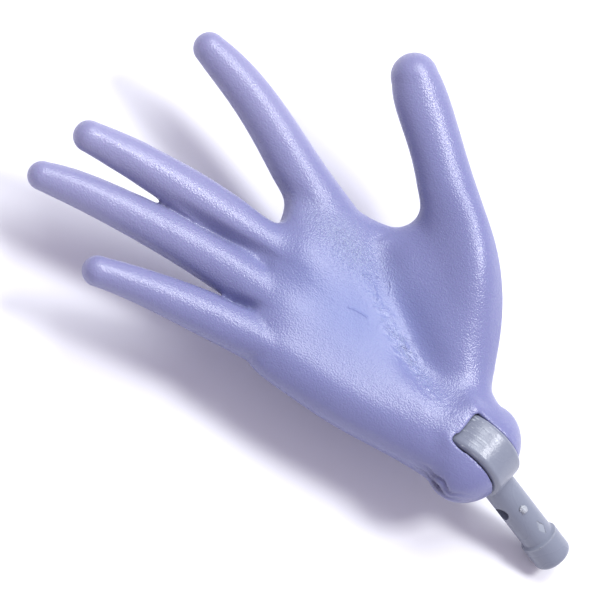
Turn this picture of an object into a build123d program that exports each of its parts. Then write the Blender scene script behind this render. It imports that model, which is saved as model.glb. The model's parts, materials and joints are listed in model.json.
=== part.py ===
"""A doll's right hand on a hinged wrist peg, lying palm up.

Frame: the origin is the middle of the peg's snap collar. +X runs along the palm towards the
fingers, +Y towards the little finger and +Z up out of the palm. At rest the wrist is bent
back, so the peg slopes down from the hinge to the origin. Lengths are in millimetres.
"""
from build123d import *
from math import cos, radians, sin
import os

os.makedirs("parts", exist_ok=True)

# ---- wrist peg ------------------------------------------------------------------------------
wrist_bend = 29.0           # how far the wrist is bent back at rest, degrees
disc_radius = 2.52          # hinge disc that turns in the slot of the hand
disc_width = 2.2
disc_edge = 0.28            # rounding of the disc's two rims
shaft_radius = 0.97
collar_radius = 1.13        # snap collar that clicks into the forearm socket
collar_start = 6.85         # where the collar's cylinder starts, measured from the hinge
collar_length = 1.4
collar_ramp = 0.12          # small ramp up from the shaft to the collar
nose_length = 0.35          # rounded end of the peg past the collar
recess_reach = 4.0          # moulded dimple in the little-finger side of the shaft
recess_radius = 0.45
recess_depth = 0.4

# ---- hinge pin and its holes ----------------------------------------------------------------
pin_radius = 0.45
pin_running_gap = 0.03      # radial, pin to disc bore
pin_start = -2.35           # just under the skin of the thumb-side lobe
pin_end = 2.1               # blind end inside the little-finger lobe

# ---- hand -----------------------------------------------------------------------------------
lobe_radius = 2.4           # the wrist base is a ball, drawn out along the hinge axis
lobe_reach = 3.15
tip_swell = 1.01            # ball at a fingertip, as a share of the finger's end
slot_side_gap = 0.07        # hand to disc, on each flat
slot_rim_gap = 0.12         # hand to disc, around the rim

collar_middle = collar_start + collar_length / 2
peg_length = collar_start + collar_length + nose_length
bend = radians(wrist_bend)
hinge = Vector(collar_middle * cos(bend), 0, collar_middle * sin(bend))
peg_direction = Vector(-cos(bend), 0, -sin(bend))


def hinge_plane(y):
    """Plane across the hinge axis at height y along it, facing the little-finger side."""
    return Plane(origin=hinge + Vector(0, y, 0), x_dir=(1, 0, 0), z_dir=(0, 1, 0))


def limb(rows):
    """Loft a stretch of the hand through elliptical sections.

    Each row is (x, y, z, width, depth, heading): the section's middle measured from the
    hinge, its size across and through the hand, and the heading of the limb in degrees,
    turned from +X towards +Y.
    """
    with BuildPart() as stretch:
        for x, y, z, width, depth, heading in rows:
            ahead = Vector(cos(radians(heading)), sin(radians(heading)), 0)
            across = Vector(-ahead.Y, ahead.X, 0)
            with BuildSketch(Plane(hinge + Vector(x, y, z), x_dir=across, z_dir=ahead)):
                Ellipse(width / 2, depth / 2)
        loft()
    return stretch.part


def finger(joints, tip_radius):
    """Loft one tapering finger and close it with a ball at the tip.

    Each joint is (x, y, z, width, depth) of an elliptical section, measured from the hinge,
    in order from inside the palm outwards. The last row is the middle of the tip's ball,
    which stands a little proud of the loft so that the two join cleanly.
    """
    rows = joints[:-1] + [joints[-1] + (2 * tip_radius, 2 * tip_radius)]
    centres = [hinge + Vector(x, y, z) for x, y, z, width, depth in rows]
    with BuildPart() as digit:
        for number, (x, y, z, width, depth) in enumerate(rows):
            before = centres[max(number - 1, 0)]
            after = centres[min(number + 1, len(centres) - 1)]
            ahead = (after - before).normalized()
            across = Vector(-ahead.Y, ahead.X, 0)
            with BuildSketch(Plane(origin=centres[number], x_dir=across, z_dir=ahead)):
                Ellipse(width / 2, depth / 2)
        loft()
        with Locations(Plane(centres[-1], x_dir=across, z_dir=ahead)):
            Sphere(tip_swell * tip_radius)
    return digit.part


# ---- fingers: (x, y, z, width, depth) from the hinge; the last is the middle of the tip -----
index_finger = finger([(11.5, -3.9, -0.2, 3.6, 3.2), (14.5, -5.1, 0.0, 3.4, 3.1),
                       (17.3, -5.95, 0.25, 3.0, 2.8), (20.5, -7.0, 0.6, 2.65, 2.55),
                       (23.5, -7.7, 0.95, 2.4, 2.25), (26.0, -7.95, 1.2)], 0.93)
middle_finger = finger([(11.5, -1.4, -0.2, 3.1, 3.0), (14.5, -1.4, 0.05, 2.9, 2.8),
                        (17.5, -1.2, 0.35, 2.75, 2.6), (21.0, -0.65, 0.85, 2.65, 2.45),
                        (24.5, 0.2, 1.5, 2.35, 2.2), (27.75, 1.3, 2.25)], 0.9)
ring_finger = finger([(10.5, 0.9, -0.2, 3.0, 2.9), (13.5, 0.8, 0.0, 3.0, 2.8),
                      (16.5, 1.05, 0.1, 2.85, 2.6), (20.5, 1.8, 0.25, 2.55, 2.35),
                      (24.5, 2.85, 0.45, 2.25, 2.1), (28.35, 4.25, 0.6)], 0.83)
little_finger = finger([(9.5, 2.3, -0.2, 2.9, 2.7), (12.5, 2.9, -0.05, 2.8, 2.5),
                        (15.5, 3.75, 0.1, 2.65, 2.35), (18.5, 4.8, 0.4, 2.3, 2.1),
                        (22.55, 6.6, 0.95)], 0.87)
thumb = finger([(2.2, -1.2, 0.0, 4.2, 3.9), (4.4, -4.0, 0.4, 4.6, 4.1),
                (6.2, -6.4, 1.0, 4.6, 3.8), (8.6, -8.65, 1.75, 3.95, 3.4),
                (11.7, -10.95, 2.65, 3.15, 2.85), (14.1, -12.4, 3.3, 3.15, 2.7),
                (16.15, -13.6, 3.85)], 1.35)

# ---- hand: one soft moulding ----------------------------------------------------------------
# The palm's heading turns so that the little finger starts lower than the index finger.
palm = limb([(-0.4, 0.0, 0.0, 5.2, 4.6, 0), (2.0, -0.3, 0.0, 6.6, 4.8, 0),
             (5.0, -0.5, -0.05, 8.2, 4.9, 2), (8.5, -0.7, -0.1, 9.9, 4.6, 5),
             (12.0, -0.9, -0.1, 11.1, 4.0, 10), (14.5, -0.9, -0.05, 11.5, 3.3, 18),
             (15.7, -0.9, 0.05, 10.8, 2.4, 22)])
# The ball of the thumb fills the valley between the palm and the thumb.
thumb_ball = limb([(3.6, -2.3, 0.1, 5.4, 4.5, -38), (6.6, -4.4, 0.35, 6.4, 4.3, -40),
                   (9.4, -5.8, 0.65, 5.6, 3.3, -40), (11.2, -6.2, 0.6, 4.0, 2.2, -40)])
# The thin web of skin between the thumb and the index finger.
thumb_web = limb([(8.4, -7.6, 1.6, 6.6, 2.6, 53), (8.7, -6.53, 1.2, 5.75, 2.3, 53),
                  (9.27, -5.58, 0.75, 5.52, 2.1, 53), (10.0, -5.0, 0.45, 6.0, 2.2, 53),
                  (11.0, -4.5, 0.2, 7.0, 2.4, 53), (12.2, -4.15, 0.0, 8.5, 2.6, 53)])

with BuildPart() as wrist_base:
    with BuildSketch(Plane(hinge, x_dir=(0, 1, 0), z_dir=(0, 0, 1))):
        Ellipse(lobe_reach, lobe_radius)
        with Locations((0, -lobe_radius)):
            Rectangle(2 * lobe_reach, 2 * lobe_radius, mode=Mode.SUBTRACT)
    revolve(axis=Axis(hinge, (0, 1, 0)))

slot_width = disc_width + 2 * slot_side_gap
with BuildPart() as slot:
    with BuildSketch(hinge_plane(-slot_width / 2)):
        Circle(disc_radius + slot_rim_gap)
    extrude(amount=slot_width)
    fillet(slot.edges().filter_by(GeomType.CIRCLE), disc_edge)
    with BuildSketch(hinge_plane(-slot_width / 2)):
        Rectangle(2 * lobe_reach, 4 * lobe_radius, align=(Align.MAX, Align.CENTER))
    extrude(amount=slot_width)

with BuildPart() as hand:
    add(palm)
    add(wrist_base.part)
    add([thumb_ball, thumb_web, index_finger, middle_finger, ring_finger, little_finger, thumb])
    add(slot.part, mode=Mode.SUBTRACT)
    with BuildSketch(hinge_plane(-2 * lobe_reach)):
        Circle(pin_radius)
    extrude(amount=2 * lobe_reach + pin_end, mode=Mode.SUBTRACT)
hand.part.label = "hand"

# ---- wrist peg: hinge disc, shaft, snap collar ----------------------------------------------
# The shaft's half outline is drawn with its local x along the radius and y towards the hinge.
peg_profile = Plane(origin=hinge, x_dir=(0, 1, 0), z_dir=peg_direction.cross(Vector(0, 1, 0)))
with BuildPart() as wrist_peg:
    with BuildSketch(peg_profile):
        with BuildLine():
            Polyline((0, 0), (shaft_radius, 0), (shaft_radius, -(collar_start - collar_ramp)),
                     (collar_radius, -collar_start),
                     (collar_radius, -(collar_start + collar_length)))
            nose_tip = (0, -peg_length)
            nose_flat = (collar_radius - nose_length, -peg_length)
            RadiusArc((collar_radius, -(collar_start + collar_length)), nose_flat, nose_length)
            Polyline(nose_flat, nose_tip, (0, 0))
        make_face()
    revolve(axis=Axis(hinge, peg_direction))
    with BuildSketch(hinge_plane(-disc_width / 2)):
        Circle(disc_radius)
    extrude(amount=disc_width)
    fillet(wrist_peg.edges().filter_by(GeomType.CIRCLE).group_by(SortBy.RADIUS)[-1], disc_edge)
    recess_mouth = Plane(origin=hinge + peg_direction * recess_reach + Vector(0, shaft_radius, 0),
                         x_dir=peg_direction, z_dir=(0, -1, 0))
    with BuildSketch(recess_mouth):
        Circle(recess_radius)
    extrude(amount=recess_depth, mode=Mode.SUBTRACT)
    with BuildSketch(hinge_plane(-disc_width)):
        Circle(pin_radius + pin_running_gap)
    extrude(amount=2 * disc_width, mode=Mode.SUBTRACT)
wrist_peg.part.label = "wrist_peg"

# ---- hinge pin ------------------------------------------------------------------------------
with BuildPart() as hinge_pin:
    with BuildSketch(hinge_plane(pin_start)):
        Circle(pin_radius)
    extrude(amount=pin_end - pin_start)
hinge_pin.part.label = "hinge_pin"

export_step(hand.part, "parts/hand.step")
export_step(wrist_peg.part, "parts/wrist_peg.step")
export_step(hinge_pin.part, "parts/hinge_pin.step")
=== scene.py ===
"""The doll's hand as it looks: soft lavender vinyl on a blue-grey hinged wrist peg."""
import json
from math import cos, radians, sin

import bmesh
import bpy
import numpy as np
from mathutils import Matrix, Vector, noise


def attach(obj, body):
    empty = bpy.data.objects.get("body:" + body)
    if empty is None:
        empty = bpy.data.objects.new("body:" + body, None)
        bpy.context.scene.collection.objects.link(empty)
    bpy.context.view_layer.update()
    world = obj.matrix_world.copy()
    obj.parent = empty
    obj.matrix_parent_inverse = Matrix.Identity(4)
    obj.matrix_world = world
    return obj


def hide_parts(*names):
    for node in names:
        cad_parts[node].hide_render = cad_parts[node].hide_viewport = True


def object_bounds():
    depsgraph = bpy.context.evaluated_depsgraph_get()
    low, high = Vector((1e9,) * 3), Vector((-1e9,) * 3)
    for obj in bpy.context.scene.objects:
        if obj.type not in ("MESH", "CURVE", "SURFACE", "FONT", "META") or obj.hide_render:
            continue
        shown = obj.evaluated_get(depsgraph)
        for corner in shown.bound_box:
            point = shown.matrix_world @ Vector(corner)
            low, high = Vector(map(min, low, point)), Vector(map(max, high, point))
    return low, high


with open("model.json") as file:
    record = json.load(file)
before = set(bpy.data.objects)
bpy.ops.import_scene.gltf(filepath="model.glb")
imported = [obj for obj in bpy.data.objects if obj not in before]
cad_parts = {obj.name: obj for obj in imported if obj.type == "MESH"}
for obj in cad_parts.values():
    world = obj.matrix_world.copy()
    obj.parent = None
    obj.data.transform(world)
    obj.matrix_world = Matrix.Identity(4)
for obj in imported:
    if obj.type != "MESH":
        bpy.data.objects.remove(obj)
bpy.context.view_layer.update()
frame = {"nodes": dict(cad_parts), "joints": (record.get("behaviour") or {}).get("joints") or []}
MM = 0.001
HINGE = Vector(frame["joints"][0]["pos_m"])     # middle of the wrist's hinge disc
PEG_SLOPE = radians(29)                         # how far the wrist is bent back
PEG_ALONG = Vector((-cos(PEG_SLOPE), 0, -sin(PEG_SLOPE)))   # from the hinge to the collar
PEG_TOP = Vector((-sin(PEG_SLOPE), 0, cos(PEG_SLOPE)))      # out of the peg's palm side
LITTLE_FINGER_SIDE = Vector((0, 1, 0))

# ---- shape of the skin, in millimetres from the hinge ---------------------------------------
SKIN_GRAIN = 0.11            # edge length of the remeshed skin
PASS_STEP = 0.5              # share of the way to its neighbours that a vertex goes in a pass
RIDGE_STEP = 0.06            # the same for a vertex on a ridge, which keeps the tips round
WEB_PASSES = 14              # how far the clefts between the fingers are filled
EDGE_PASSES = 5              # how far the edges of the wrist's slot are rounded
WRIST_END = (2.2, 3.2)       # where that rounding stops, along the hand
PALM_FACING = (0.1, 0.7)     # how far a normal points out of the palm, from side to palm

# The slot and the pin's hole keep their size. The skin turns from fixed to free between two
# distances beside the slot's walls, past the slot's round end, and from the pin's axis.
SLOT_HALF_WIDTH = 1.17
SLOT_REACH = 2.64            # from the pin's axis to the slot's round end
BESIDE_SLOT = (0.2, 0.9)
PAST_SLOT = (0.25, 1.0)
PAST_PIN = (0.7, 1.2)

# The slot's lips close on the disc by LIP_SQUEEZE. The squeeze grows between the first two
# distances from the pin's axis, and dies out between the other two from the slot's wall.
LIP_SQUEEZE = 0.03
LIP_START = (1.6, 2.2)
LIP_WIDTH = (0.2, 0.5)

# Places where the skin is rounded further: x, y, z, reach, passes.
SOFT_SPOTS = [
    (1.3, 1.17, 2.3, 0.9, 5),       # the corners of the slot's end in the palm
    (1.3, -1.17, 2.3, 0.9, 5),
    (10.1, -8.0, 1.5, 2.6, 90),     # web between the thumb and the palm
    (17.0, -3.3, 0.2, 2.4, 90),     # web between the index and middle fingers
]
# The palm rises at those corners, so that it stays level to the slot: x, y, reach, height.
CORNER_RISE = (1.6, 1.287, 0.5, 0.16)
PALM_HEIGHT = (1.2, 1.8)     # height over the pin's axis at which the palm's skin begins

# The part of the palm that is drawn tight: x, y, reach along, reach across, heading.
PALM_STRETCH = (8.0, -2.9, 7.6, 6.2, -12)
STRETCH_EDGE = (0.25, 0.6)   # from its free outer edge to where it is drawn fully
STRETCH_PASSES = 700
# Mounds and hollows of the palm: x, y, reach along, reach across, heading, height.
PALM_MOUNDS = [
    (8.8, -0.8, 4.4, 2.8, 4, -0.35),        # the palm's hollow
    (7.2, -2.6, 4.2, 1.1, -27, -0.5),       # the fold along the ball of the thumb
    (10.9, -4.9, 1.5, 1.0, -54, -0.35),     # the fold's end, towards the index finger
    (5.0, -1.4, 2.6, 1.3, 14, -0.35),       # the hollow's tail towards the wrist
    (7.5, 3.0, 4.6, 1.2, 9, 0.3),           # edge of the hand under the little finger
    (14.3, -2.7, 2.3, 2.0, -35, 0.5),       # pad under the index finger
    (6.6, -7.7, 3.6, 2.0, -48, 1.0),        # ball of the thumb
    (14.2, -1.3, 1.4, 1.2, 0, 0.15),        # pad under the middle finger
    (13.2, 1.3, 1.4, 1.1, 8, 0.15),         # pad under the ring finger
    (12.2, 3.4, 1.5, 1.1, 15, 0.15),        # pad under the little finger
    (19.0, 0.15, 2.4, 0.22, 13, -0.8),      # cleft between the middle and ring fingers
    (15.6, 2.45, 1.0, 0.22, 19, -0.6),      # cleft between the ring and little fingers
]

# The wrinkled band in the palm's fold, as a mound: its height is the wrinkles' depth.
WRINKLES = (6.6, -1.4, 3.0, 0.5, -20, 0.28)
WRINKLE_SIZE = 0.42
WRINKLE_STRETCH = (1, 1.6, 1)
FINE_WRINKLE_SIZE, FINE_WRINKLE_SHARE = 0.23, 0.4
WRINKLE_LEVEL = 0.35         # the height of a wrinkle that stays where the skin was

# Folds at the little finger's side of the wrist: middle and reach along the hand, where the
# side begins, length of a sway, then height, sway, width and depth of each fold.
SLIT_MIDDLE, SLIT_LENGTH = 0.4, 1.1
SLIT_SIDE = (1.6, 2.1)
SLIT_SWAY_LENGTH = 0.7
SLIT_FOLDS = [(0.1, 0.25, 0.12, 0.3), (0.75, 0.3, 0.1, 0.16)]

# The torn stub on the peg: radius of the shaft under it, distance from the hinge, turn about
# the shaft, half sizes, and the depth and number of its lumps, coarse and fine.
SHAFT_RADIUS = 0.97
GATE_REACH = 4.33
GATE_TURN = radians(9)
GATE_SIZE = (0.28, 0.2, 0.13)
GATE_LUMPS = [(0.35, 1.7), (0.15, 5)]

# ---- looks of the vinyl ---------------------------------------------------------------------
# The thick palm is bluer and deeper and the thin fingertips are paler; each has a darker and
# a paler cloud. The change runs from the first to the second distance along the fingers.
PALM_VINYL = ((0.185, 0.195, 0.375, 1), (0.205, 0.215, 0.395, 1))
TIP_VINYL = ((0.265, 0.265, 0.44, 1), (0.285, 0.285, 0.46, 1))
TIP_CHANGE = (12.0, 27.0)
TIP_SLANT = 0.25             # how much sooner it comes towards the thumb
HOLLOW_VINYL = (0.165, 0.20, 0.42, 1)
# Painted highlight: the pale, speckled patch on the pad under the index finger.
PAD_HIGHLIGHT_COLOUR = (0.33, 0.38, 0.53, 1)
# Painted highlight: the paler wrinkled band in the palm's fold.
WRINKLE_HIGHLIGHT_COLOUR = (0.30, 0.34, 0.52, 1)
# Painted shade: the near-black line along the folds at the little finger's side of the wrist.
SLIT_SHADOW_COLOUR = (0.05, 0.045, 0.075, 1)
SLIT_SHADE = 0.6             # how much of that colour the slit takes
SLIT_HEIGHT, SLIT_HALF = 0.2, 0.45

# Patches of the palm: middle x and y, reach along, reach across, heading.
HOLLOW_PATCH = (10.0, -1.2, 4.5, 3.0, 0)
WRINKLES_AND_HIGHLIGHT_PATCH = (6.6, -1.4, 3.0, 0.45, -20)
# The pad's patch carries both the coarse grain and the painted highlight.
GRAIN_AND_HIGHLIGHT_PATCH = (12.9, -4.1, 2.5, 1.15, -4)
SMOOTH_PATCH = (9.0, -1.0, 4.0, 2.4, 6)

# Cold fronts in the palm: middle x and y, radius, heading of its middle, spread, width.
FLOW_MARKS = [
    (10.78, -1.89, 1.35, -113, 48, 0.05),
    (10.2, -3.34, 0.81, -150, 35, 0.06),
    (9.6, 1.1, 2.47, -80, 17, 0.06),
    (9.0, -1.13, 3.0, -52, 13, 0.05),
]
# Depths of the relief in millimetres.
LIP_DEPTH = 0.022            # of a cold front
CREASE_DEPTH = 0.2           # of the wrinkled band's fine creases
GRAIN_DEPTH = 0.095
SEAM_DEPTH = 0.02
WAVE_DEPTH = 0.03            # of the soft waves, on the peg too

# ---- looks of the peg and the floor ---------------------------------------------------------
PEG_PLASTIC = ((0.20, 0.22, 0.275, 1), (0.22, 0.24, 0.295, 1))
# Painted highlight on the scraped rim; the sink mark and the flash take a share of the same pale
# colour.
HIGHLIGHT_AND_PALE_PLASTIC = (0.55, 0.6, 0.62, 1)
TORN_PLASTIC = ((0.26, 0.28, 0.32, 1), (0.55, 0.58, 0.6, 1))
STEEL = (0.5, 0.5, 0.51, 1)
PAPER = (0.86, 0.86, 0.87, 1)
DISC_RIM = (2.3, 2.45)       # where the rim of the hinge disc begins, from the hinge
SHAFT_START = (2.8, 3.2)     # where the shaft leaves the disc
PEG_UPPER_SIDE = (0.3, 0.6)  # where the side of the shaft turns into its top
# The scrapes on the rim, which carry painted highlight streaks: middle and reach along the hand,
# and where they begin going up.
SCRAPE_PLACE, SCRAPE_REACH, SCRAPE_START = 1.0, 1.3, (0.5, 1.5)
# The sink mark: distance from the hinge and place across, width for its length, and its edge.
SINK_PLACE, SINK_SLENDER, SINK_EDGE = (6.0, -0.05), 0.45, (0.18, 0.27)
# The flash at the foot of the collar: distance from the hinge, width.
FLASH_PLACE, FLASH_WIDTH = 6.87, 0.06
# Depths of the relief on the peg: grooves of the rim, pits, and the sink mark and flash.
GROOVE_DEPTH, PIT_DEPTH, MARK_DEPTH = 0.04, 0.012, 0.12

# ---- camera and lights ----------------------------------------------------------------------
VIEW_TILT = radians(22.3)    # off the palm's normal, towards the little finger
VIEW_TURN = radians(49.8)    # turn of the picture about the line of sight
VIEW_MIDDLE = Vector((12.95, -0.29, 0)) * MM    # from the hinge
VIEW_WIDTH = 33.6 * MM
LENS = 300
SENSOR = 36
TOWARDS_CAMERA = Vector((0, sin(VIEW_TILT), cos(VIEW_TILT)))
PICTURE_UP = Vector((cos(VIEW_TURN), -sin(VIEW_TURN) * cos(VIEW_TILT),
                     sin(VIEW_TURN) * sin(VIEW_TILT)))
PICTURE_RIGHT = PICTURE_UP.cross(TOWARDS_CAMERA)

# Each light's place to the right, up and near as the camera sees it, then its distance, size,
# power and colour.
WINDOW = ((0.45, 0.72, 0.75), 0.3, 0.15, 0.6, (0.93, 0.97, 1.0))
LAMP = ((0.72, 0.26, 0.65), 0.35, 0.08, 0.75, (0.97, 0.98, 1.0))
ROOM_COLOUR, ROOM_STRENGTH = (0.92, 0.85, 1.05, 1), 0.59
FLOOR_HALF = 0.6             # metres from its middle to its edge


def places_of(mesh):
    """The mesh's vertex places in millimetres from the hinge."""
    flat = np.empty(len(mesh.vertices) * 3)
    mesh.vertices.foreach_get("co", flat)
    return (flat.reshape(-1, 3) - np.array(HINGE)) / MM


def put_back(mesh, places):
    """Write places in millimetres from the hinge back into the mesh."""
    flat = (places * MM + np.array(HINGE)).ravel()
    mesh.vertices.foreach_set("co", flat)
    mesh.update()


def normals_of(mesh):
    """The outward normal at every vertex."""
    flat = np.empty(len(mesh.vertices) * 3)
    mesh.vertex_normals.foreach_get("vector", flat)
    return flat.reshape(-1, 3)


def fade(value, start, end):
    """0 before start, 1 after end, with a smooth turn between."""
    share = np.clip((value - start) / (end - start), 0, 1)
    return share * share * (3 - 2 * share)


def fade_out(value, start, end):
    """1 before start, 0 after end, with a smooth turn between."""
    return 1 - fade(value, start, end)


def bell(distance, reach):
    """1 where distance is 0, falling off like a bell over reach."""
    return np.exp(-(distance / reach) ** 2)


def pull_to_neighbours(places, edges):
    """The step that takes every vertex to the middle of its neighbours."""
    ends = np.concatenate((edges[:, 0], edges[:, 1]))
    others = np.concatenate((edges[:, 1], edges[:, 0]))
    count = np.maximum(np.bincount(ends, minlength=len(places)), 1)
    totals = [np.bincount(ends, places[others, axis], len(places)) for axis in range(3)]
    return np.stack(totals, axis=1) / count[:, None] - places


def ease(places, edges, passes, freedom):
    """Round the skin: move every vertex towards its neighbours, passes times over.

    freedom gives every vertex's share of the movement, 0 to 1, from the places.
    """
    for _ in range(passes):
        step = pull_to_neighbours(places, edges)
        places = places + PASS_STEP * freedom(places)[:, None] * step
    return places


def edges_of(mesh):
    """The two vertices of every edge."""
    flat = np.empty(len(mesh.edges) * 2, dtype=np.int64)
    mesh.edges.foreach_get("vertices", flat)
    return flat.reshape(-1, 2)


def away_from_wrist_slot(places):
    """1 on the skin that may soften, 0 on the slot and the pin's hole, which keep their size."""
    from_axis = np.hypot(places[:, 0], places[:, 2])
    beside_slot = fade(np.abs(places[:, 1]) - SLOT_HALF_WIDTH, *BESIDE_SLOT)
    past_slot = fade(from_axis - SLOT_REACH, *PAST_SLOT)
    past_pin = fade(from_axis, *PAST_PIN)
    return np.maximum(beside_slot, past_slot) * past_pin


def soften(mesh):
    """Fill the clefts between the fingers as a moulded skin does, and keep the round tips."""
    edges = edges_of(mesh)
    for _ in range(WEB_PASSES):
        places = places_of(mesh)
        step = pull_to_neighbours(places, edges)
        hollow = np.einsum("ij,ij->i", step, normals_of(mesh))
        share = np.where(hollow > 0, PASS_STEP, RIDGE_STEP)
        places += step * (share * away_from_wrist_slot(places))[:, None]
        put_back(mesh, places)


def stretch_palm(mesh):
    """Draw the palm side tight between the fingers, the thumb and the edge of the hand."""
    edges = edges_of(mesh)
    places = places_of(mesh)
    inside = swell(places, normals_of(mesh), *PALM_STRETCH, height=1.0)
    share = fade(inside, *STRETCH_EDGE) * away_from_wrist_slot(places)
    # Only the skin that moves, and its neighbours, are worked on.
    moving = np.flatnonzero(share > 0)
    near = np.isin(edges, moving).any(axis=1)
    close_by = np.unique(edges[near])
    new_number = np.full(len(places), -1)
    new_number[close_by] = np.arange(len(close_by))
    part, part_edges, part_share = places[close_by], new_number[edges[near]], share[close_by]
    places[close_by] = ease(part, part_edges, STRETCH_PASSES, lambda part: part_share)
    put_back(mesh, places)


def round_soft_spot(places, edges, x, y, z, reach, passes):
    """Round the skin round one place."""
    def near_spot(places):
        away = np.sqrt(((places - (x, y, z)) ** 2).sum(axis=1))
        return fade_out(away, 0.5 * reach, reach)
    return ease(places, edges, passes, near_spot)


def ease_wrist_edges(mesh):
    """Round the edges of the slot, the pin's hole and the webs, and close the slot's lips."""
    edges = edges_of(mesh)
    places = places_of(mesh)
    at_wrist = fade_out(places[:, 0], *WRIST_END)
    places = ease(places, edges, EDGE_PASSES, lambda places: at_wrist)
    for spot in SOFT_SPOTS:
        places = round_soft_spot(places, edges, *spot)
    x, y, reach, height = CORNER_RISE
    for side in (1, -1):
        off_corner = np.hypot(places[:, 0] - x, places[:, 1] - side * y)
        places[:, 2] += height * bell(off_corner, reach) * fade(places[:, 2], *PALM_HEIGHT)
    # The lips close on the disc.
    from_axis = np.hypot(places[:, 0], places[:, 2])
    off_wall = np.abs(np.abs(places[:, 1]) - SLOT_HALF_WIDTH)
    lip = fade(from_axis, *LIP_START) * fade_out(off_wall, *LIP_WIDTH)
    places[:, 1] -= np.sign(places[:, 1]) * LIP_SQUEEZE * lip
    put_back(mesh, places)


def swell(places, normal, x, y, along, across, heading, height):
    """How far a soft mound, or a hollow, lifts each place on the palm side.

    x and y are its middle, along and across its reach in millimetres, heading its turn in
    degrees from +X towards +Y, and height its lift, below 0 for a hollow.
    """
    turn = radians(heading)
    ahead = (places[:, 0] - x) * cos(turn) + (places[:, 1] - y) * sin(turn)
    aside = (places[:, 1] - y) * cos(turn) - (places[:, 0] - x) * sin(turn)
    palm_side = fade(normal[:, 2], *PALM_FACING)
    return height * bell(ahead, along) * bell(aside, across) * palm_side


def model_palm(mesh):
    """Raise the pads and the balls of the palm and press in its hollow."""
    places, normal = places_of(mesh), normals_of(mesh)
    lift = sum(swell(places, normal, *mound) for mound in PALM_MOUNDS)
    places[:, 2] += lift * away_from_wrist_slot(places)
    put_back(mesh, places)


def wander_of(places, size):
    """A smooth random number from -1 to 1 at each place, changing over size millimetres."""
    return np.array([noise.noise(Vector(place) / size) for place in places])


def cut_wrist_slit(mesh):
    """Press in the two folds at the little finger's side of the wrist."""
    places, normal = places_of(mesh), normals_of(mesh)
    at_slit = np.abs(places[:, 0] - SLIT_MIDDLE) < 2 * SLIT_LENGTH
    near = np.flatnonzero(at_slit & (places[:, 1] > SLIT_SIDE[0]))
    x, y, z = places[near].T
    wander = wander_of(places[near] * (1, 0, 0), SLIT_SWAY_LENGTH)
    depth = sum(deep * bell(z - height - sway * wander, width)
                for height, sway, width, deep in SLIT_FOLDS)
    depth *= bell(x - SLIT_MIDDLE, SLIT_LENGTH) * fade(y, *SLIT_SIDE)
    places[near] -= depth[:, None] * normal[near]
    put_back(mesh, places)


def crumple_fold(mesh):
    """Wrinkle the fold along the ball of the thumb, where the vinyl met itself in the mould."""
    places, normal = places_of(mesh), normals_of(mesh)
    lift = swell(places, normal, *WRINKLES)
    near = np.flatnonzero(lift > 0.01 * WRINKLES[-1])
    coarse = np.abs(wander_of(places[near] * WRINKLE_STRETCH, WRINKLE_SIZE))
    fine = np.abs(wander_of(places[near], FINE_WRINKLE_SIZE))
    creased = coarse + FINE_WRINKLE_SHARE * fine - WRINKLE_LEVEL
    places[near] += (lift[near] * creased)[:, None] * normal[near]
    put_back(mesh, places)


def make_gate_stub():
    """The torn stub of plastic left on the peg's shaft, where its gate was cut off."""
    outward = PEG_TOP * cos(GATE_TURN) + LITTLE_FINGER_SIDE * sin(GATE_TURN)
    across = outward.cross(PEG_ALONG)
    middle = HINGE + (PEG_ALONG * GATE_REACH + outward * SHAFT_RADIUS) * MM
    long, wide, high = (half * MM for half in GATE_SIZE)
    stub = bmesh.new()
    bmesh.ops.create_icosphere(stub, subdivisions=4, radius=1)
    for corner in stub.verts:
        lumps = sum(depth * noise.noise(corner.co * count) for depth, count in GATE_LUMPS)
        ahead, aside, up = corner.co * (1 + lumps)
        corner.co = middle + PEG_ALONG * ahead * long + across * aside * wide + outward * up * high
    mesh = bpy.data.meshes.new("gate_stub")
    stub.to_mesh(mesh)
    stub.free()
    mesh.shade_smooth()
    mesh.materials.append(torn_plastic())
    piece = bpy.data.objects.new("gate_stub", mesh)
    bpy.context.collection.objects.link(piece)
    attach(piece, "peg")


def skin_of(node, name):
    """A fine, evenly meshed copy of a CAD node."""
    rough = bpy.data.objects.new(name + "_rough", frame["nodes"][node].data.copy())
    bpy.context.collection.objects.link(rough)
    grain = rough.modifiers.new("grain", "REMESH")
    grain.mode = "VOXEL"
    grain.voxel_size = SKIN_GRAIN * MM
    seen = rough.evaluated_get(bpy.context.evaluated_depsgraph_get())
    mesh = bpy.data.meshes.new_from_object(seen)
    mesh.name = name
    bpy.data.objects.remove(rough)
    skin = bpy.data.objects.new(name, mesh)
    bpy.context.collection.objects.link(skin)
    mesh.shade_smooth()
    return skin


# ---- materials ------------------------------------------------------------------------------
class Amount:
    """A number that changes over a surface. Python arithmetic on it adds Math nodes."""

    def __init__(self, finish, socket):
        self.finish, self.socket = finish, socket

    def maths(self, operation, first, second=0.0):
        return self.finish.add("ShaderNodeMath", {"operation": operation}, {0: first, 1: second})

    def __add__(self, other):
        return self.maths("ADD", self, other)

    def __sub__(self, other):
        return self.maths("SUBTRACT", self, other)

    def __mul__(self, other):
        return self.maths("MULTIPLY", self, other)

    def __truediv__(self, other):
        return self.maths("DIVIDE", self, other)

    def __pow__(self, other):
        return self.maths("POWER", self, other)

    def __radd__(self, other):
        return self.maths("ADD", other, self)

    def __rsub__(self, other):
        return self.maths("SUBTRACT", other, self)

    def __rmul__(self, other):
        return self.maths("MULTIPLY", other, self)


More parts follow.
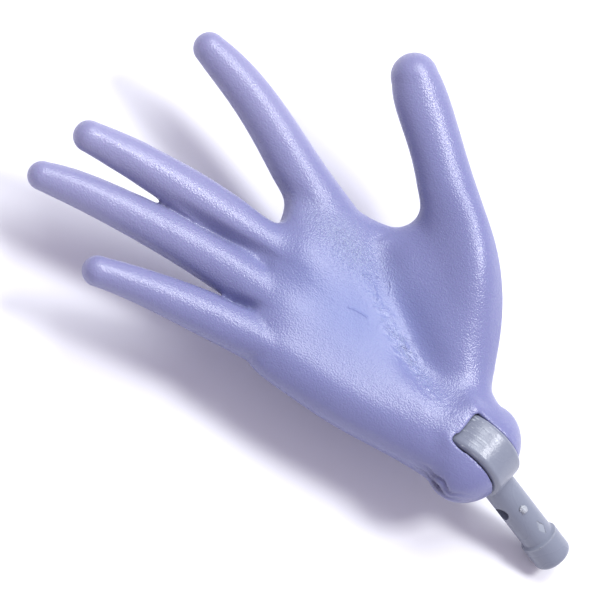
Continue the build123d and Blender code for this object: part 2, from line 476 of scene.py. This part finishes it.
class Finish:
    """One node material under construction."""

    def __init__(self, name):
        self.material = bpy.data.materials.new(name)
        self.material.use_nodes = True
        self.tree = self.material.node_tree
        self.shader = self.tree.nodes["Principled BSDF"]
        self.place = self.add("ShaderNodeTexCoord", output="Object")
        self.facing = self.add("ShaderNodeTexCoord", output="Normal")

    def add(self, kind, settings=None, inputs=None, output=0):
        """Add a node, set it up, feed its sockets and return one of its outputs."""
        node = self.tree.nodes.new(kind)
        for key, value in (settings or {}).items():
            setattr(node, key, value)
        for key, value in (inputs or {}).items():
            self.feed(node.inputs[key], value)
        return Amount(self, node.outputs[output])

    def feed(self, socket, value):
        """Link a value from another node, or set a plain one."""
        if isinstance(value, Amount):
            self.tree.links.new(value.socket, socket)
        else:
            socket.default_value = value

    def axes(self, vector):
        """The three parts of a vector."""
        return [self.add("ShaderNodeSeparateXYZ", {}, {0: vector}, part) for part in range(3)]

    def from_hinge(self):
        """The place on the piece in millimetres from the hinge, as three numbers."""
        moved = self.add("ShaderNodeMapping", {}, {"Vector": self.place,
                         "Location": tuple(-HINGE / MM), "Scale": (1 / MM,) * 3})
        return self.axes(moved)

    def near(self, distance, reach):
        """1 where distance is 0, falling off like a bell over reach."""
        return self.add("ShaderNodeMath", {"operation": "EXPONENT"},
                        {0: -1 * (distance / reach) ** 2})

    def without_sign(self, amount):
        """How large an amount is, whatever its sign."""
        return self.add("ShaderNodeMath", {"operation": "ABSOLUTE"}, {0: amount})

    def step(self, amount, start, end):
        """0 before start, 1 after end, with a smooth turn between."""
        return self.add("ShaderNodeMapRange", {"interpolation_type": "SMOOTHSTEP"},
                        {"Value": amount, "From Min": start, "From Max": end})

    def noise(self, size_mm, detail=2.0, roughness=0.5, stretch=(1, 1, 1)):
        """Soft noise from 0 to 1 with features of about this size."""
        place = self.add("ShaderNodeMapping", {}, {"Vector": self.place, "Scale": stretch})
        return self.add("ShaderNodeTexNoise", {}, {"Vector": place, "Scale": 1 / (size_mm * MM),
                        "Detail": detail, "Roughness": roughness})

    def mix(self, share, first, second):
        """Blend two colours."""
        return self.add("ShaderNodeMix", {"data_type": "RGBA"},
                        {0: share, 6: first, 7: second}, output=2)

    def bump(self, height, depth_mm, before=None):
        """A Bump node of this depth, on top of another where one is given."""
        inputs = {"Height": height, "Distance": depth_mm * MM, "Strength": 1.0}
        if before is not None:
            inputs["Normal"] = before
        return self.add("ShaderNodeBump", {}, inputs)

    def set(self, **sockets):
        """Set the shader's own sockets; underscores stand for spaces."""
        for key, value in sockets.items():
            self.feed(self.shader.inputs[key.replace("_", " ")], value)


def patch(finish, x, y, middle_x, middle_y, along, across, heading):
    """1 at the middle of an oval patch of the palm, falling off like a bell to its edge."""
    turn = radians(heading)
    ahead = (x - middle_x) * cos(turn) + (y - middle_y) * sin(turn)
    aside = (y - middle_y) * cos(turn) - (x - middle_x) * sin(turn)
    return finish.near(ahead, along) * finish.near(aside, across)


def flow_mark(finish, x, y, wander, middle_x, middle_y, radius, heading, spread, width):
    """The raised lip of a cold front of vinyl: part of a circle in the palm."""
    turn = radians(heading)
    across, along = x - middle_x, y - middle_y
    distance = (across * across + along * along) ** 0.5
    ring = finish.near(distance - radius + wander, width)
    towards = (across * cos(turn) + along * sin(turn)) / distance
    return ring * finish.step(towards, cos(radians(spread)), cos(radians(spread * 0.7)))


def vinyl_colour(vinyl, x, y, z, cloud, wander, hollow, grain_and_highlight, wrinkles_and_highlight):
    """The vinyl's colour: bluer palm, paler tips, a painted highlight on the pad and in the
    wrinkled band, and painted shade in the wrist's slit.
    """
    tipness = vinyl.step(x - TIP_SLANT * y, *TIP_CHANGE)
    colour = vinyl.mix(tipness, vinyl.mix(cloud, *PALM_VINYL), vinyl.mix(cloud, *TIP_VINYL))
    colour = vinyl.mix(hollow, colour, HOLLOW_VINYL)
    # Painted highlight: a pale, speckled patch on the pad under the index finger, where the grain
    # is also coarser.
    speckle = vinyl.step(vinyl.noise(0.13, roughness=0.6), 0.4, 0.62)
    pad_highlight = grain_and_highlight * (0.2 + 0.45 * speckle)
    colour = vinyl.mix(pad_highlight, colour, PAD_HIGHLIGHT_COLOUR)
    # Painted shade: a near-black line along the folds in the wrist.
    side = vinyl.step(y, 1.4, 2.0) * vinyl.near(x - SLIT_MIDDLE, 1.0)
    off_slit = z - SLIT_HEIGHT + wander * 1.5
    slit_shadow = side * vinyl.step(cloud, 0.3, 0.45) * vinyl.near(off_slit, SLIT_HALF)
    colour = vinyl.mix(slit_shadow * SLIT_SHADE, colour, SLIT_SHADOW_COLOUR)
    # Painted highlight: the wrinkled band is made paler, on top of its real creases.
    return vinyl.mix(wrinkles_and_highlight * 0.5, colour, WRINKLE_HIGHLIGHT_COLOUR)


def vinyl_relief(vinyl, x, y, wander, palm_side, grain_and_highlight, wrinkles_and_highlight):
    """The marks of the mould, from the soft waves up to the spark-eroded grain."""
    waves = vinyl.bump(vinyl.noise(1.1), WAVE_DEPTH)
    marks = sum(flow_mark(vinyl, x, y, wander, *mark) for mark in FLOW_MARKS)
    fibres = vinyl.add("ShaderNodeMapping", {}, {"Vector": vinyl.place, "Scale": (1.0, 2.0, 1.0),
                       "Rotation": (0, 0, radians(20))})
    crease = vinyl.add("ShaderNodeTexNoise", {}, {"Vector": fibres, "Scale": 1 / (0.7 * MM),
                       "Detail": 3.0, "Roughness": 0.55, "Distortion": 1.2})
    creased = wrinkles_and_highlight * vinyl.without_sign(crease - 0.5)
    cold = marks * palm_side * LIP_DEPTH + creased * CREASE_DEPTH
    lips = vinyl.bump(cold, 1.0, waves)
    # The mould's two halves met all round the edge of the hand.
    parting = vinyl.near(vinyl.axes(vinyl.facing)[2] + wander * 0.3, 0.05)
    seam = vinyl.bump(parting, SEAM_DEPTH, lips)
    # Coarse sparks in the mould under the index finger, fine ones elsewhere.
    smooth = palm_side * patch(vinyl, x, y, *SMOOTH_PATCH)
    coarseness = 0.3 + grain_and_highlight * 0.9 - smooth * 0.16
    return vinyl.bump(vinyl.noise(0.1, detail=1.0) * coarseness, GRAIN_DEPTH, seam)


def hand_vinyl():
    """Soft lavender vinyl with the spark-eroded grain of its mould."""
    vinyl = Finish("hand_vinyl")
    x, y, z = vinyl.from_hinge()
    palm_side = vinyl.step(vinyl.axes(vinyl.facing)[2], 0.0, 0.5)
    cloud = vinyl.noise(4.0)
    wander = (vinyl.noise(1.2) - 0.5) * 0.35
    hollow = palm_side * patch(vinyl, x, y, *HOLLOW_PATCH)
    grain_and_highlight = palm_side * patch(vinyl, x, y, *GRAIN_AND_HIGHLIGHT_PATCH)
    band = patch(vinyl, x, y, *WRINKLES_AND_HIGHLIGHT_PATCH)
    wrinkles_and_highlight = palm_side * band
    colour = vinyl_colour(vinyl, x, y, z, cloud, wander, hollow, grain_and_highlight, wrinkles_and_highlight)
    relief = vinyl_relief(vinyl, x, y, wander, palm_side, grain_and_highlight, wrinkles_and_highlight)
    roughness = 0.27 + cloud * 0.06 + hollow * 0.2 - band * 0.15
    vinyl.set(Base_Color=colour, Roughness=roughness, Normal=relief, IOR=1.6,
              Subsurface_Weight=0.2, Subsurface_Scale=0.6 * MM,
              Subsurface_Radius=(1.0, 0.6, 0.9))
    return vinyl.material


def peg_plastic():
    """Hard glossy blue-grey plastic, with a scraped disc that has painted highlight streaks, a
    sink mark and some flash.
    """
    plastic = Finish("peg_plastic")
    x, y, z = plastic.from_hinge()
    along = x * PEG_ALONG.x + z * PEG_ALONG.z
    on_top = plastic.step(z * PEG_TOP.z + x * PEG_TOP.x, *PEG_UPPER_SIDE)
    on_rim = plastic.step((x * x + z * z) ** 0.5, *DISC_RIM)
    off_disc = plastic.step(along, *SHAFT_START)
    cloud = plastic.noise(3.0, detail=1.0)
    # The rim is turned in fine grooves, and scraped on the palm's side; the pale streaks there are
    # a painted highlight.
    groove = plastic.noise(0.14, roughness=0.6, stretch=(0.05, 1.0, 0.05))
    in_reach = plastic.near(x - SCRAPE_PLACE, SCRAPE_REACH)
    scraped = on_rim * in_reach * plastic.step(z, *SCRAPE_START)
    dashes = plastic.noise(0.16, detail=3.0, roughness=0.7, stretch=(0.5, 1.0, 0.5))
    rim_highlight = plastic.step(groove, 0.5, 0.58) * plastic.step(dashes, 0.5, 0.62) * scraped
    # A long sink mark on the shaft, and flash at the foot of the collar.
    ragged = (plastic.noise(0.2) - 0.5) * 0.9
    from_sink = plastic.without_sign(along - SINK_PLACE[0]) * SINK_SLENDER
    off_sink = from_sink + plastic.without_sign(y - SINK_PLACE[1]) + ragged * 0.15
    sink = on_top * (1 - plastic.step(off_sink, *SINK_EDGE))
    flash = off_disc * plastic.near(along - FLASH_PLACE, FLASH_WIDTH)
    flash = flash * (0.3 + plastic.step(ragged, 0.05, 0.15))

    turned = plastic.bump(groove * (scraped * 0.85 + on_rim * 0.15), GROOVE_DEPTH)
    pitted = plastic.bump(plastic.noise(0.12), PIT_DEPTH, turned)
    cut = plastic.bump(flash * 0.6 - sink * 0.5, MARK_DEPTH, pitted)
    waves = plastic.bump(plastic.noise(1.0, detail=1.0), WAVE_DEPTH, cut)
    # Painted highlight streaks on the scraped rim, and a paler sink mark and flash.
    light = rim_highlight * 0.8 + sink * 0.25 + flash * 0.5
    colour = plastic.mix(light, plastic.mix(cloud, *PEG_PLASTIC), HIGHLIGHT_AND_PALE_PLASTIC)
    plastic.set(Base_Color=colour, Roughness=0.24 + cloud * 0.08, Normal=waves)
    return plastic.material


def torn_plastic():
    """The peg's plastic where it was torn: paler and rough."""
    plastic = Finish("torn_plastic")
    torn = plastic.noise(0.1, detail=3.0, roughness=0.6)
    plastic.set(Base_Color=plastic.mix(torn, *TORN_PLASTIC), Roughness=0.2 + torn * 0.3,
                Normal=plastic.bump(torn, 0.06))
    return plastic.material


def pin_steel():
    """Drawn steel wire."""
    steel = Finish("pin_steel")
    lines = steel.noise(0.08, stretch=(1, 0.1, 1))
    steel.set(Base_Color=STEEL, Metallic=1.0, Roughness=0.25 + lines * 0.2)
    return steel.material


def pale_floor():
    """Plain pale paper."""
    paper = Finish("pale_floor")
    paper.set(Base_Color=PAPER, Roughness=0.7)
    return paper.material


# ---- pieces ---------------------------------------------------------------------------------
def make_hand():
    """The moulded hand: the CAD hand with filled clefts and a soft skin."""
    skin = skin_of("hand", "hand_skin")
    stretch_palm(skin.data)
    model_palm(skin.data)
    soften(skin.data)
    ease_wrist_edges(skin.data)
    crumple_fold(skin.data)
    cut_wrist_slit(skin.data)
    skin.data.materials.clear()
    skin.data.materials.append(hand_vinyl())
    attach(skin, "hand")
    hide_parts("hand")


def dress(node, material):
    """Give a CAD node a better material."""
    mesh = frame["nodes"][node].data
    mesh.materials.clear()
    mesh.materials.append(material)


# ---- floor, light and camera ----------------------------------------------------------------
def make_floor():
    """A plain pale floor under the hand."""
    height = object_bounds()[0][2]
    corners = [(-FLOOR_HALF, -FLOOR_HALF, height), (FLOOR_HALF, -FLOOR_HALF, height),
               (FLOOR_HALF, FLOOR_HALF, height), (-FLOOR_HALF, FLOOR_HALF, height)]
    mesh = bpy.data.meshes.new("floor")
    mesh.from_pydata(corners, [], [(0, 1, 2, 3)])
    mesh.materials.append(pale_floor())
    floor = bpy.data.objects.new("floor", mesh)
    bpy.context.collection.objects.link(floor)


def stand(direction, distance):
    """The place and turn of something that looks at the middle of the view."""
    back = direction.normalized()
    right = PICTURE_UP.cross(back).normalized()
    upward = back.cross(right)
    turn = Matrix((right, upward, back)).transposed().to_4x4()
    return Matrix.Translation(HINGE + VIEW_MIDDLE + back * distance) @ turn


def make_camera():
    """The camera, above the palm and a little to the little-finger side."""
    data = bpy.data.cameras.new("camera")
    data.lens, data.sensor_width = LENS, SENSOR
    data.clip_start = 1 * MM
    camera = bpy.data.objects.new("camera", data)
    camera.matrix_world = stand(TOWARDS_CAMERA, LENS * VIEW_WIDTH / SENSOR)
    bpy.context.collection.objects.link(camera)
    bpy.context.scene.camera = camera


def soft_light(name, place, distance, size, power, colour):
    """A square soft light; place is to the right, up and near, as the camera sees it."""
    data = bpy.data.lights.new(name, "AREA")
    data.size, data.energy, data.color = size, power, colour
    lamp = bpy.data.objects.new(name, data)
    right, up, near = place
    way = PICTURE_RIGHT * right + PICTURE_UP * up + TOWARDS_CAMERA * near
    lamp.matrix_world = stand(way, distance)
    bpy.context.collection.objects.link(lamp)


def make_light():
    """A cool window and a smaller lamp to its right, in a room with pale lilac walls."""
    soft_light("window", *WINDOW)
    soft_light("lamp", *LAMP)
    world = bpy.data.worlds.new("room")
    world.use_nodes = True
    walls = world.node_tree.nodes["Background"].inputs
    walls["Color"].default_value, walls["Strength"].default_value = ROOM_COLOUR, ROOM_STRENGTH
    bpy.context.scene.world = world
    bpy.context.scene.view_settings.view_transform = "Standard"


make_floor()
make_hand()
make_gate_stub()
dress("wrist_peg", peg_plastic())
dress("hinge_pin", pin_steel())
make_camera()
make_light()
